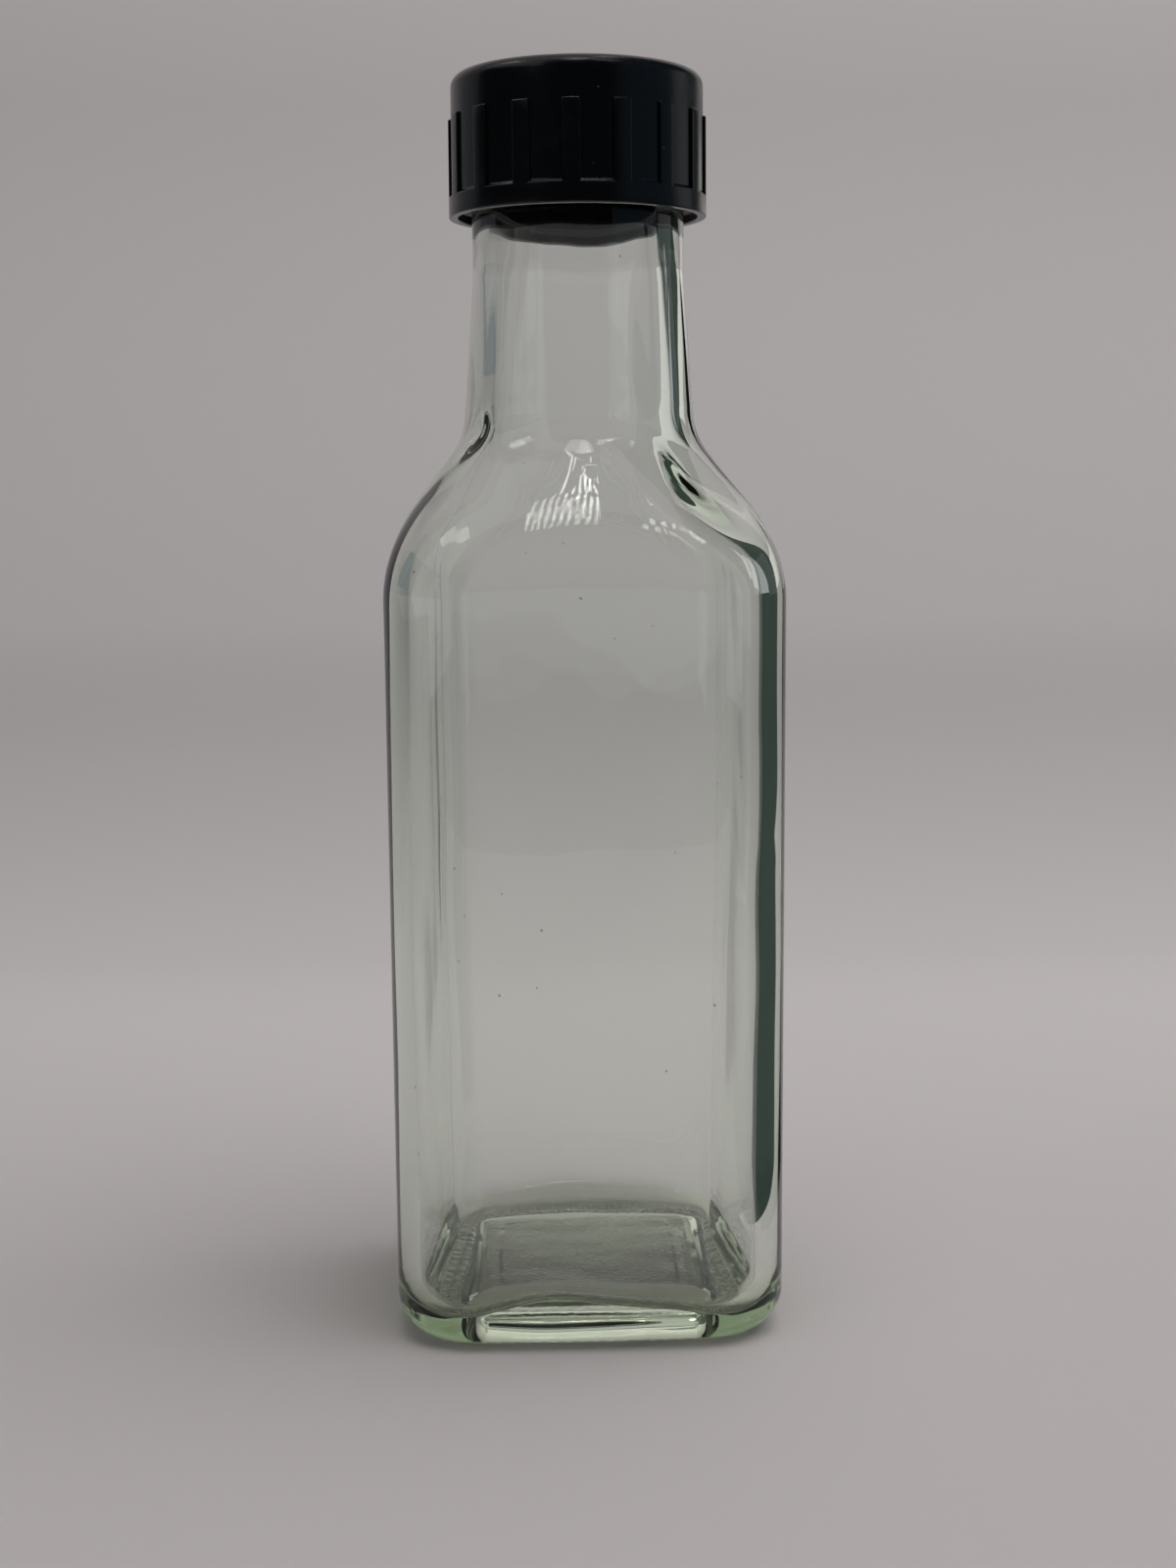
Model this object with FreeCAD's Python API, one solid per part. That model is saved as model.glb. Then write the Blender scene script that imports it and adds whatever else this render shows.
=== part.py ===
"""Square glass bottle with a ribbed screw cap.

Millimetres, +Z up. The origin is the centre of the base, at the height of the ring that the
bottle stands on. The four flat sides of the body face -Y, +X, +Y and -X.
"""
import FreeCAD
import Part
import math
import os

# ---- body ----
BODY_HALF_BASE = 22.9        # half the width across the flats, just above the heel
BODY_FLARE = 0.4             # how much wider each side stands where the shoulder starts
BODY_CORNER_RADIUS = 9.6     # upright corners
BODY_SIDE_BOW = 2.6          # degrees that each flat side turns, either way of its middle
HEEL_RADIUS = 5.0            # turn from the sides into the base
SHOULDER_START = 85.5        # height where the sides start to lean in

# ---- shoulder and neck ----
SHOULDER_RADIUS = 19.0       # convex turn from the sides into the slope
SHOULDER_SLOPE = 37.5        # degrees that the slope leans from upright
NECK_FILLET = 8.5            # concave turn from the slope into the neck
NECK_TOP_RADIUS = 12.45      # where the neck enters the cap, and on up to the mouth
NECK_FLARE = 1.1             # how much wider the neck is at its foot
NECK_HEIGHT = 22.2           # from the foot of the neck to the rim of the cap
NECK_STRAIGHT = 6.5          # how far below the rim of the cap the neck starts to widen
LIP_ROUNDING = 0.9

# ---- thickness of the glass ----
WALL = 2.6                   # at the middle of each flat side
INNER_CORNER_RADIUS = 8.4    # rounder than an even wall would leave it, so the corners are thick
FLOOR = 6.0                  # height of the floor above the ring that the bottle stands on
INNER_HEEL_RADIUS = 2.6      # turn from the inner wall into the floor
MOUTH_WALL = 2.55            # from the rim of the cap up
NECK_WALL = 2.0              # where the neck starts to widen
NECK_FOOT_WALL = 2.95

# ---- hollow under the base ----
RING_WIDTH = 1.4             # the flat ring that the bottle stands on
PUSH_UP = 3.8                # depth of the hollow
PUSH_UP_RUN = 5.0            # how far in from the ring it reaches that depth
PUSH_UP_CORNER_RADIUS = 6.5

# ---- cap ----
CAP_HEIGHT = 16.4
CAP_CLEARANCE = 0.25         # between the neck and the bore of the cap
CAP_WALL = 2.05              # between the ribs
CAP_BAND_HEIGHT = 2.4        # the band round the rim, as wide as the ribs
CAP_TOP_THICKNESS = 1.5
CAP_TOP_ROUNDING = 1.5
CAP_LIP_WALL = 1.05          # thickness left at the rim, where the bore opens out
CAP_LIP_DEPTH = 1.3
RIB_COUNT = 16
RIB_DEPTH = 0.35             # how far the ribs and the band stand out
RIB_WIDTH = 2.15
RIB_HEIGHT = 9.1             # above the band
RIB_EDGE = 0.2               # rounding of the ribs' outer edges
FIRST_RIB = -94.5            # direction of one rib, in degrees from +X

# ---- how the solids are made ----
HEEL_STEPS = 5
TURN_STEPS = 4
ROUND_BOW = 20.0             # degrees that the side arcs turn where the outline has become round
OVERLAP = 0.3                # how deep added pieces reach into what carries them

# ---- sizes that follow ----
BODY_HALF_TOP = BODY_HALF_BASE + BODY_FLARE
NECK_FOOT_RADIUS = NECK_TOP_RADIUS + NECK_FLARE
CAP_BORE_RADIUS = NECK_TOP_RADIUS + CAP_CLEARANCE
CAP_WALL_RADIUS = CAP_BORE_RADIUS + CAP_WALL
CAP_RIM_RADIUS = CAP_WALL_RADIUS + RIB_DEPTH


def outline(half, corner, bow, height):
    """A closed outline of eight tangent arcs: four slightly bowed sides and four corners."""
    corner = min(corner, half)
    bow = math.radians(bow)
    side = (half - corner * (math.cos(bow) - math.sin(bow))) / (math.sin(bow) + 1 - math.cos(bow))
    centre = (side - corner) * math.sin(bow)
    edges = []
    for quarter in range(4):
        turn = FreeCAD.Rotation(FreeCAD.Vector(0, 0, 1), 90 * quarter)

        def on_side(angle):
            x = half - side + side * math.cos(angle)
            return turn.multVec(FreeCAD.Vector(x, side * math.sin(angle), height))

        def on_corner(angle):
            x = centre + corner * math.cos(angle)
            return turn.multVec(FreeCAD.Vector(x, centre + corner * math.sin(angle), height))

        edges.append(Part.Arc(on_side(-bow), on_side(0), on_side(bow)).toShape())
        edges.append(Part.Arc(on_side(bow), on_corner(math.pi / 4), on_corner(math.pi / 2 - bow)).toShape())
    return Part.Wire(edges)


def round_outline(radius, height):
    return outline(radius, radius, ROUND_BOW, height)


def shoulder(half, foot, convex, concave):
    """Half-widths and heights from the sides to the foot of the neck: turn, slope, turn."""
    slope = math.radians(SHOULDER_SLOPE)
    run = half - foot - (convex + concave) * (1 - math.cos(slope))
    slope_start = SHOULDER_START + convex * math.sin(slope)
    slope_end = slope_start + run / math.tan(slope)
    foot_height = slope_end + concave * math.sin(slope)
    points = []
    for step in range(TURN_STEPS + 1):
        angle = slope * step / TURN_STEPS
        points.append((half - convex * (1 - math.cos(angle)), SHOULDER_START + convex * math.sin(angle)))
    for step in range(TURN_STEPS + 1):
        angle = slope * (1 - step / TURN_STEPS)
        points.append((foot + concave * (1 - math.cos(angle)), foot_height - concave * math.sin(angle)))
    return points


def shoulder_outlines(half, corner, foot, convex, concave):
    """The outlines of a shoulder, which turn from the square body into the round neck."""
    wires = []
    for width, height in shoulder(half, foot, convex, concave):
        share = (half - width) / (half - foot)
        round_corner = corner + (width - corner) * share
        bow = BODY_SIDE_BOW + (ROUND_BOW - BODY_SIDE_BOW) * share
        wires.append(outline(width, round_corner, bow, height))
    return wires


def heel_outlines(half, corner, radius, bottom):
    """The outlines of a rounded lower edge, from the bottom up to the sides."""
    wires = []
    for step in range(HEEL_STEPS + 1):
        angle = math.pi / 2 * step / HEEL_STEPS
        inset = radius * (1 - math.sin(angle))
        height = bottom + radius * (1 - math.cos(angle))
        wires.append(outline(half - inset, corner - inset, BODY_SIDE_BOW, height))
    return wires


def vessel(heel, side_top, upper, neck):
    """One closed solid through the heel, the sides, the shoulder and the neck."""
    spans = [
        Part.makeLoft(heel, True, False),
        Part.makeLoft([heel[-1], side_top], True, True),
        Part.makeLoft(upper, True, False),
        Part.makeLoft([upper[-1]] + neck, True, True),
    ]
    return spans[0].fuse(spans[1:]).removeSplitter()


def neck_foot_height():
    return shoulder(BODY_HALF_TOP, NECK_FOOT_RADIUS, SHOULDER_RADIUS, NECK_FILLET)[-1][1]


def cap_rim_height():
    return neck_foot_height() + NECK_HEIGHT


def taper_height():
    """Where the straight part of the neck ends and the neck starts to widen."""
    return cap_rim_height() - NECK_STRAIGHT


def lip_height():
    """The mouth meets the underside of the cap's top."""
    return cap_rim_height() + CAP_HEIGHT - CAP_TOP_THICKNESS


def bottle_outside():
    upper = shoulder_outlines(
        BODY_HALF_TOP, BODY_CORNER_RADIUS, NECK_FOOT_RADIUS, SHOULDER_RADIUS, NECK_FILLET)
    solid = vessel(
        heel_outlines(BODY_HALF_BASE, BODY_CORNER_RADIUS, HEEL_RADIUS, 0),
        upper[0],
        upper,
        [round_outline(NECK_TOP_RADIUS, height) for height in (taper_height(), cap_rim_height())])
    length = lip_height() - cap_rim_height()
    finish = Part.makeCylinder(NECK_TOP_RADIUS, length, FreeCAD.Vector(0, 0, cap_rim_height()))
    lip = [edge for edge in finish.Edges if edge.BoundBox.ZMin > lip_height() - OVERLAP]
    return solid.fuse(finish.makeFillet(LIP_ROUNDING, lip)).removeSplitter()


def bottle_inside():
    """The space inside the bottle, run out past the mouth so that it cuts through."""
    upper = shoulder_outlines(
        BODY_HALF_TOP - WALL, INNER_CORNER_RADIUS, NECK_FOOT_RADIUS - NECK_FOOT_WALL,
        SHOULDER_RADIUS - WALL, NECK_FILLET + WALL)
    mouth = NECK_TOP_RADIUS - MOUTH_WALL
    neck = [
        round_outline(NECK_TOP_RADIUS - NECK_WALL, taper_height()),
        round_outline(mouth, cap_rim_height()),
        round_outline(mouth, lip_height() + OVERLAP),
    ]
    return vessel(
        heel_outlines(BODY_HALF_BASE - WALL, INNER_CORNER_RADIUS, INNER_HEEL_RADIUS, FLOOR),
        upper[0],
        upper,
        neck)


def push_up():
    """The hollow that lifts the middle of the base off the table."""
    edge = BODY_HALF_BASE - HEEL_RADIUS - RING_WIDTH
    wires = [outline(edge, PUSH_UP_CORNER_RADIUS, BODY_SIDE_BOW, -OVERLAP)]
    for step in range(TURN_STEPS + 1):
        share = step / TURN_STEPS
        inset = PUSH_UP_RUN * share
        height = PUSH_UP * math.sin(math.pi / 2 * share)
        wires.append(outline(edge - inset, PUSH_UP_CORNER_RADIUS - inset, BODY_SIDE_BOW, height))
    return Part.makeLoft(wires, True, True)


def make_bottle():
    return bottle_outside().cut(bottle_inside()).cut(push_up())


def make_rib(rim):
    """One rib, standing along +X on the band."""
    foot = rim + CAP_BAND_HEIGHT - OVERLAP
    root = CAP_WALL_RADIUS - OVERLAP
    box = Part.makeBox(
        CAP_RIM_RADIUS, RIB_WIDTH, RIB_HEIGHT + OVERLAP, FreeCAD.Vector(root, -RIB_WIDTH / 2, foot))
    rib = box.common(Part.makeCylinder(CAP_RIM_RADIUS, CAP_HEIGHT, FreeCAD.Vector(0, 0, rim)))
    outer = []
    for edge in rib.Edges:
        reach = [math.hypot(v.X, v.Y) for v in edge.Vertexes]
        on_foot = edge.BoundBox.ZMax < foot + OVERLAP / 2
        if min(reach) > CAP_RIM_RADIUS - RIB_EDGE / 2 and not on_foot:
            outer.append(edge)
    return rib.makeFillet(RIB_EDGE, outer)


def make_cap():
    rim = cap_rim_height()
    base = FreeCAD.Vector(0, 0, rim)
    wall = Part.makeCylinder(CAP_WALL_RADIUS, CAP_HEIGHT, base)
    top = [edge for edge in wall.Edges if edge.BoundBox.ZMin > rim + CAP_HEIGHT - OVERLAP]
    pieces = [Part.makeCylinder(CAP_RIM_RADIUS, CAP_BAND_HEIGHT, base)]
    for index in range(RIB_COUNT):
        rib = make_rib(rim)
        rib.rotate(FreeCAD.Vector(), FreeCAD.Vector(0, 0, 1), FIRST_RIB + index * 360 / RIB_COUNT)
        pieces.append(rib)
    shell = wall.makeFillet(CAP_TOP_ROUNDING, top).fuse(pieces).removeSplitter()
    bore = Part.makeCylinder(CAP_BORE_RADIUS, CAP_HEIGHT - CAP_TOP_THICKNESS, base)
    opening = Part.makeCylinder(CAP_RIM_RADIUS - CAP_LIP_WALL, CAP_LIP_DEPTH, base)
    return shell.cut(bore.fuse(opening))


os.makedirs("parts", exist_ok=True)
for name, make in (("bottle", make_bottle), ("cap", make_cap)):
    solid = make()
    print(name, solid.isValid(), len(solid.Solids), round(solid.Volume, 1), solid.BoundBox)
    solid.exportStep("parts/" + name + ".step")
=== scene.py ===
"""Dresses the square glass bottle and its ribbed cap, and sets up the studio round them."""
import bpy
import math
from mathutils import Matrix, Vector, noise


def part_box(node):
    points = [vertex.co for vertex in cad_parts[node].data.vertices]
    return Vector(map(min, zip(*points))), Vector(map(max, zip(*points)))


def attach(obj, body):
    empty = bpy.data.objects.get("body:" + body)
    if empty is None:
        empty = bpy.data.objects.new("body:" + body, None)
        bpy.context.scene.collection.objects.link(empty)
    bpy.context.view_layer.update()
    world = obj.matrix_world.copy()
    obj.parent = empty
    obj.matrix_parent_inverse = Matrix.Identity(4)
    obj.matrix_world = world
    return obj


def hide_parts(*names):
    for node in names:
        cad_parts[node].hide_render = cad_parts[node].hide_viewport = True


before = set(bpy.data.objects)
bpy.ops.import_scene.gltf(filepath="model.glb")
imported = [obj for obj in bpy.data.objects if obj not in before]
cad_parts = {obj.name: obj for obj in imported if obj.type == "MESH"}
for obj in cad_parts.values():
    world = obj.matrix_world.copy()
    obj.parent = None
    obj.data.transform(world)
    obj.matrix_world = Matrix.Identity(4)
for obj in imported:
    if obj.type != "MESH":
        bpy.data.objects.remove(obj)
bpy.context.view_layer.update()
CAP_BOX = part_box("cap")

bl_info = {
    "name": "Square Glass Bottle",
    "version": (1, 0, 0),
    "blender": (4, 5, 0),
    "location": "View3D > Sidebar > Bottle",
    "description": "Builds a square glass bottle with a ribbed cap round its packed frame",
    "category": "Object",
}


# ---------------------------------------------------------------- sizes and colours

def length(name, description, default):
    return bpy.props.FloatProperty(
        name=name, description=description, default=default, unit="LENGTH", precision=5)


def angle(name, description, degrees):
    return bpy.props.FloatProperty(
        name=name, description=description, default=math.radians(degrees), subtype="ANGLE")


def colour(name, description, default):
    return bpy.props.FloatVectorProperty(
        name=name, description=description, default=default, size=3, subtype="COLOR", min=0, max=1)


def number(name, description, default):
    return bpy.props.FloatProperty(name=name, description=description, default=default)


def count(name, description, default):
    return bpy.props.IntProperty(name=name, description=description, default=default)


class BottleSizes(bpy.types.PropertyGroup):
    """Sizes and colour of the glass."""
    half_base: length("Half width at base", "Half the width across the flats above the heel", 0.0229)
    half_top: length("Half width at shoulder", "Half the width where the shoulder starts", 0.0233)
    corner: length("Corner radius", "Radius of the upright corners", 0.0096)
    bow: angle("Side bow", "Turn of each flat side, either way of its middle", 2.6)
    heel: length("Heel radius", "Turn from the sides into the base", 0.005)
    shoulder_start: length("Shoulder start", "Height where the sides lean in", 0.0855)
    shoulder_radius: length("Shoulder radius", "Convex turn into the slope", 0.019)
    slope: angle("Shoulder slope", "Lean of the slope from upright", 37.5)
    neck_fillet: length("Neck fillet", "Concave turn from the slope into the neck", 0.0085)
    neck_foot: length("Neck foot radius", "Radius at the foot of the neck", 0.01355)
    neck_top: length("Neck top radius", "Radius inside the cap", 0.01245)
    neck_straight: length("Straight neck", "How far below the cap the neck starts to widen", 0.0065)
    wall: length("Wall", "Glass at the middle of each flat side", 0.0026)
    inner_corner: length("Inner corner radius", "Upright corners of the inside", 0.0084)
    floor: length("Floor", "Height of the floor above the bearing ring", 0.0059)
    inner_heel: length("Inner heel radius", "Turn from the inner wall into the floor", 0.0026)
    floor_slope: length("Floor slope", "How much higher the floor set at the back", 0.0034)
    floor_sink: length("Floor sink", "How far the floor falls away into its four corners", 0.0036)
    floor_swell: length("Floor swell", "Rise of the floor's edge at the front, left of the middle", 0.0012)
    finish_wall: length("Finish wall", "Glass at the mouth", 0.00255)
    neck_wall: length("Neck wall", "Glass where the neck starts to widen", 0.002)
    neck_foot_wall: length("Neck foot wall", "Glass at the foot of the neck", 0.00295)
    lip: length("Lip rounding", "Rounding of the mouth's edges", 0.0009)
    ring: length("Bearing ring", "Width of the ring that the bottle stands on", 0.0014)
    push_up: length("Push-up", "Depth of the hollow under the base", 0.0039)
    push_up_run: length("Push-up run", "How far in the hollow reaches its depth", 0.0062)
    push_up_corner: length("Push-up corner radius", "Corners of the hollow under the base", 0.0045)
    turning: length("Turning marks", "Height of the mould's turning marks in the push-up", 0.00009)
    knurls: count("Knurls", "Small bars round the bearing ring", 132)
    knurl_rise: angle("Knurl rise", "How far round the heel the bars reach", 27.0)
    knurl_depth: length("Knurl depth", "How deep the gaps between the bars are", 0.00028)
    wave_inside: length("Inner waves", "Uneven thickness of the glass", 0.00022)
    neck_waves: length("Neck waves", "Uneven thickness round the neck", 0.00035)
    fold: length("Shoulder fold", "Thicker glass at two places where the shoulder meets the neck", 0.0014)
    fold_side: angle("Fold direction", "Where the glass is thickest, from +X", -41.0)
    fold_height: length("Fold height", "Height of the thicker glass", 0.0965)
    wave_outside: length("Outer waves", "Unevenness of the outer face", 0.00003)
    sag: length("Floor sag", "How unevenly the floor set", 0.00022)
    seam: length("Mould seam", "Height of the seam up the neck", 0.00011)
    seam_side: angle("Seam direction", "Where the seam runs, from +X", -20.0)
    tint: colour("Tint", "Colour that the glass takes with depth", (0.717, 0.85, 0.677))
    tint_density: number("Tint density", "Strength of the tint for each metre of glass", 60.0)
    cast_roughness: number("Cast roughness", "Roughness where the mould left its grain", 0.22)
    base_tone: colour("Base tone", "Colour of the thick glass of the base", (0.95, 0.98, 0.86))
    cast_grain: number("Cast grain", "Height of the mould's grain", 1.0)
    dust: colour("Dust", "Colour of the specks on the glass", (0.3, 0.3, 0.29))


class CapSizes(bpy.types.PropertyGroup):
    """Sizes and colour of the cap."""
    rim_radius: length("Rim radius", "Band round the rim and tops of the ribs", 0.0151)
    wall_radius: length("Wall radius", "Between the ribs", 0.01475)
    band: length("Band", "Height of the band round the rim", 0.0024)
    top_thickness: length("Top thickness", "Plastic above the mouth", 0.0015)
    top_rounding: length("Top rounding", "Rounding of the top edge", 0.0015)
    edge: length("Edge rounding", "Rounding of the rim's edges", 0.00018)
    bore: length("Bore", "Radius of the inside", 0.0127)
    lip_wall: length("Lip wall", "Plastic at the rim", 0.00105)
    lip_depth: length("Lip depth", "Depth of the wider part of the bore", 0.0013)
    ribs: count("Ribs", "Ribs round the cap", 16)
    rib_width: length("Rib width", "Width of each rib", 0.00215)
    rib_height: length("Rib height", "Height above the band", 0.0091)
    rib_edge: length("Rib edge", "Rounding of a rib's edges", 0.0002)
    rib_sink: length("Rib sink", "How deep the ribs reach into the wall and the band", 0.0003)
    first_rib: angle("First rib", "Direction of one rib, from +X", -94.5)
    plastic: colour("Plastic", "Colour of the cap", (0.0012, 0.0016, 0.0024))
    dust: colour("Dust", "Colour of the specks on the cap", (0.03, 0.03, 0.03))


class StudioSizes(bpy.types.PropertyGroup):
    """Camera, floor, backdrop and lights."""
    camera_distance: length("Camera distance", "From the axis of the bottle", 0.2822)
    camera_height: length("Camera height", "Above the floor", 0.0944)
    camera_side: angle("Camera side", "Turn about the bottle, towards -X", 1.99)
    camera_tilt: angle("Camera tilt", "Tilt down", 6.37)
    camera_roll: angle("Camera roll", "Lean of the camera", -0.47)
    camera_pan: angle("Camera pan", "Turn to the right", 0.136)
    focal_length: number("Focal length", "In millimetres", 54.0)
    # The paper is one colour; these tones paint the light on it: painted shade at the front and in the bend,
    # more painted light behind the bottle and up the backdrop.
    front_floor_shading: colour("Floor", "Colour of the floor at the front", (0.292, 0.274, 0.272))
    rear_floor_shading: colour("Rear floor", "Colour of the floor behind the bottle", (0.348, 0.33, 0.327))
    bend_shading: colour("Bend", "Colour of the paper where it bends up", (0.252, 0.2385, 0.24))
    backdrop_shading: colour("Backdrop", "Colour of the backdrop higher up", (0.44, 0.414, 0.414))
    strip_low: length("Strip foot", "Lower edge of the cards at the sides", 0.115)
    strip_high: length("Strip top", "Upper edge of the strip of light and of the windows", 0.2)
    lamp_height: length("Lamp height", "Ceiling lamp above the floor", 0.6)
    lamp_x: length("Lamp side", "Middle lamp along X", -0.01)
    lamp_y: length("Lamp place", "Middle lamp along Y", -0.23)
    lamp_pitch: length("Lamp pitch", "Between the small lights of a ceiling lamp", 0.012)
    lamp_dot: length("Lamp dot", "Width of each small light", 0.006)
    lamp_strength: number("Lamp strength", "Brightness of the ceiling lamps", 9.0)
    window_strength: number("Window", "Brightness of the side windows inside the glass", 0.95)
    box_width: length("Light box", "Width of the soft light overhead", 1.0)
    through_light: number(
        "Light through glass", "Strength of the light that reaches the paper through glass", 1.7)
    box_power: number("Light box power", "Power of the soft light overhead, in watts", 11.8)


# ---------------------------------------------------------------- mesh helpers

def outline(half, corner, bow, side_points, corner_points):
    """Points of eight tangent arcs, from the start of the +X side, once round."""
    corner = min(corner, half)
    side = (half - corner * (math.cos(bow) - math.sin(bow))) / (math.sin(bow) + 1 - math.cos(bow))
    centre = (side - corner) * math.sin(bow)
    quarter = []
    for step in range(side_points):
        turn = bow * (2 * step / side_points - 1)
        quarter.append((half - side + side * math.cos(turn), side * math.sin(turn)))
    for step in range(corner_points):
        turn = bow + (math.pi / 2 - 2 * bow) * step / corner_points
        quarter.append((centre + corner * math.cos(turn), centre + corner * math.sin(turn)))
    points = list(quarter)
    for _ in range(3):
        quarter = [(-y, x) for x, y in quarter]
        points += quarter
    return points


def stitch(rings, first_centre=None, last_centre=None):
    """A mesh through rings of points. Neighbouring rings may differ by a whole factor."""
    vertices = []
    starts = []
    for ring in rings:
        starts.append(len(vertices))
        vertices += ring
    faces = []
    for index in range(len(rings) - 1):
        low, high = rings[index], rings[index + 1]
        a, b = starts[index], starts[index + 1]
        small = min(len(low), len(high))
        step_a, step_b = len(low) // small, len(high) // small
        for k in range(small):
            lower = [a + (k * step_a + j) % len(low) for j in range(step_a + 1)]
            upper = [b + (k * step_b + j) % len(high) for j in range(step_b + 1)]
            faces.append(lower + upper[::-1])
    for centre, ring_index, flip in ((first_centre, 0, True), (last_centre, len(rings) - 1, False)):
        if centre is None:
            continue
        size = len(rings[ring_index])
        start = starts[ring_index]
        vertices.append(centre)
        for k in range(size):
            face = [start + k, start + (k + 1) % size, len(vertices) - 1]
            faces.append(face[::-1] if flip else face)
    return vertices, faces


def placed(name, data):
    """A new object in the scene."""
    piece = bpy.data.objects.new(name, data)
    bpy.context.scene.collection.objects.link(piece)
    return piece


def mesh_object(name, vertices, faces, material, smooth=True):
    mesh = bpy.data.meshes.new(name)
    mesh.from_pydata([tuple(v) for v in vertices], [], faces)
    mesh.validate()
    for polygon in mesh.polygons:
        polygon.use_smooth = smooth
    piece = placed(name, mesh)
    piece.data.materials.append(material)
    return piece


def arc(start, stop, steps):
    """Angles from start to stop in radians, both included."""
    return [start + (stop - start) * step / steps for step in range(steps + 1)]


def between(low, high, steps):
    """Values between two ends, which are left out."""
    return [low + (high - low) * step / steps for step in range(1, steps)]


# ---------------------------------------------------------------- materials

def new_material(name):
    """An empty material, its nodes and links, and the node that it ends in."""
    material = bpy.data.materials.new(name)
    material.use_nodes = True
    nodes = material.node_tree.nodes
    nodes.clear()
    return material, nodes, material.node_tree.links, nodes.new("ShaderNodeOutputMaterial")


def fill(node, values):
    """Gives the named inputs of a node their values."""
    for name, value in values.items():
        node.inputs[name].default_value = value
    return node


def wire(links, source, output, target, socket):
    links.new(source.outputs[output], target.inputs[socket])


def maths(nodes, operation):
    node = nodes.new("ShaderNodeMath")
    node.operation = operation
    return node


def colour_mix(nodes, first, second):
    mix = nodes.new("ShaderNodeMix")
    mix.data_type = "RGBA"
    return fill(mix, {"A": (*first, 1), "B": (*second, 1)})


def marks_group():
    """Shader group for the glass and the plastic: faint smears, specks of dust, waves and grain."""
    tree = bpy.data.node_groups.new("surface_marks", "ShaderNodeTree")
    for name, default in (
            ("Smear scale", 60.0), ("Speck scale", 300.0), ("Speck size", 0.1), ("Wave scale", 400.0),
            ("Wave height", 0.1), ("Grain scale", 1500.0), ("Grain height", 0.1)):
        socket = tree.interface.new_socket(name, in_out="INPUT", socket_type="NodeSocketFloat")
        socket.default_value = default
    for name, kind in (("Smears", "Float"), ("Specks", "Float"), ("Normal", "Vector")):
        tree.interface.new_socket(name, in_out="OUTPUT", socket_type="NodeSocket" + kind)
    nodes, links = tree.nodes, tree.links
    given = nodes.new("NodeGroupInput")
    result = nodes.new("NodeGroupOutput")
    place = nodes.new("ShaderNodeTexCoord")
    smear = fill(nodes.new("ShaderNodeTexNoise"), {"Detail": 5, "Roughness": 0.62, "Distortion": 0.6})
    clear = fill(nodes.new("ShaderNodeMapRange"), {"From Min": 0.52, "From Max": 0.8})
    cells = nodes.new("ShaderNodeTexVoronoi")
    spread = nodes.new("ShaderNodeSeparateColor")
    size = maths(nodes, "MULTIPLY")
    dot = maths(nodes, "LESS_THAN")
    wave, bump = bump_layer(nodes, links, 2)
    grain, fine_bump = bump_layer(nodes, links, 4)
    for node, scale in ((smear, "Smear scale"), (cells, "Speck scale"),
                        (wave, "Wave scale"), (grain, "Grain scale")):
        wire(links, place, "Object", node, "Vector")
        wire(links, given, scale, node, "Scale")
    wire(links, smear, 0, clear, "Value")
    wire(links, clear, 0, result, "Smears")
    wire(links, cells, "Color", spread, 0)
    wire(links, spread, 0, size, 0)
    wire(links, given, "Speck size", size, 1)
    wire(links, cells, "Distance", dot, 0)
    wire(links, size, 0, dot, 1)
    wire(links, dot, 0, result, "Specks")
    wire(links, given, "Wave height", bump, "Strength")
    wire(links, given, "Grain height", fine_bump, "Strength")
    wire(links, bump, 0, fine_bump, "Normal")
    wire(links, fine_bump, 0, result, "Normal")
    return tree


def bump_layer(nodes, links, detail):
    """A noise and the bump that it raises."""
    waves = fill(nodes.new("ShaderNodeTexNoise"), {"Detail": detail})
    bump = fill(nodes.new("ShaderNodeBump"), {"Distance": 0.0001})
    wire(links, waves, 0, bump, "Height")
    return waves, bump


def marked_shader(nodes, links, out, values):
    """A Principled shader whose normal comes from the shared group, and the group's node."""
    shader = nodes.new("ShaderNodeBsdfPrincipled")
    marks = nodes.new("ShaderNodeGroup")
    marks.node_tree = bpy.data.node_groups.get("surface_marks") or marks_group()
    fill(marks, values)
    wire(links, marks, "Normal", shader, "Normal")
    wire(links, shader, 0, out, "Surface")
    return shader, marks


def dusted(nodes, links, marks, clean, dust, shader):
    """Base colour that turns from clean to dust in the specks, and the node that mixes them."""
    mix = colour_mix(nodes, clean, dust)
    wire(links, marks, "Specks", mix, "Factor")
    wire(links, mix, "Result", shader, "Base Color")
    return mix


def smeared(nodes, links, marks, low, high, shader):
    """Roughness between low where the surface is clean and high in the smears."""
    rise = fill(nodes.new("ShaderNodeMapRange"), {"To Min": low, "To Max": high})
    wire(links, marks, "Smears", rise, "Value")
    wire(links, rise, 0, shader, "Roughness")


def scaled(nodes, links, source, factor, target):
    """The value of one socket times a factor, led to another socket."""
    times = maths(nodes, "MULTIPLY")
    times.inputs[1].default_value = factor
    links.new(source, times.inputs[0])
    links.new(times.outputs[0], target)


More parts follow.
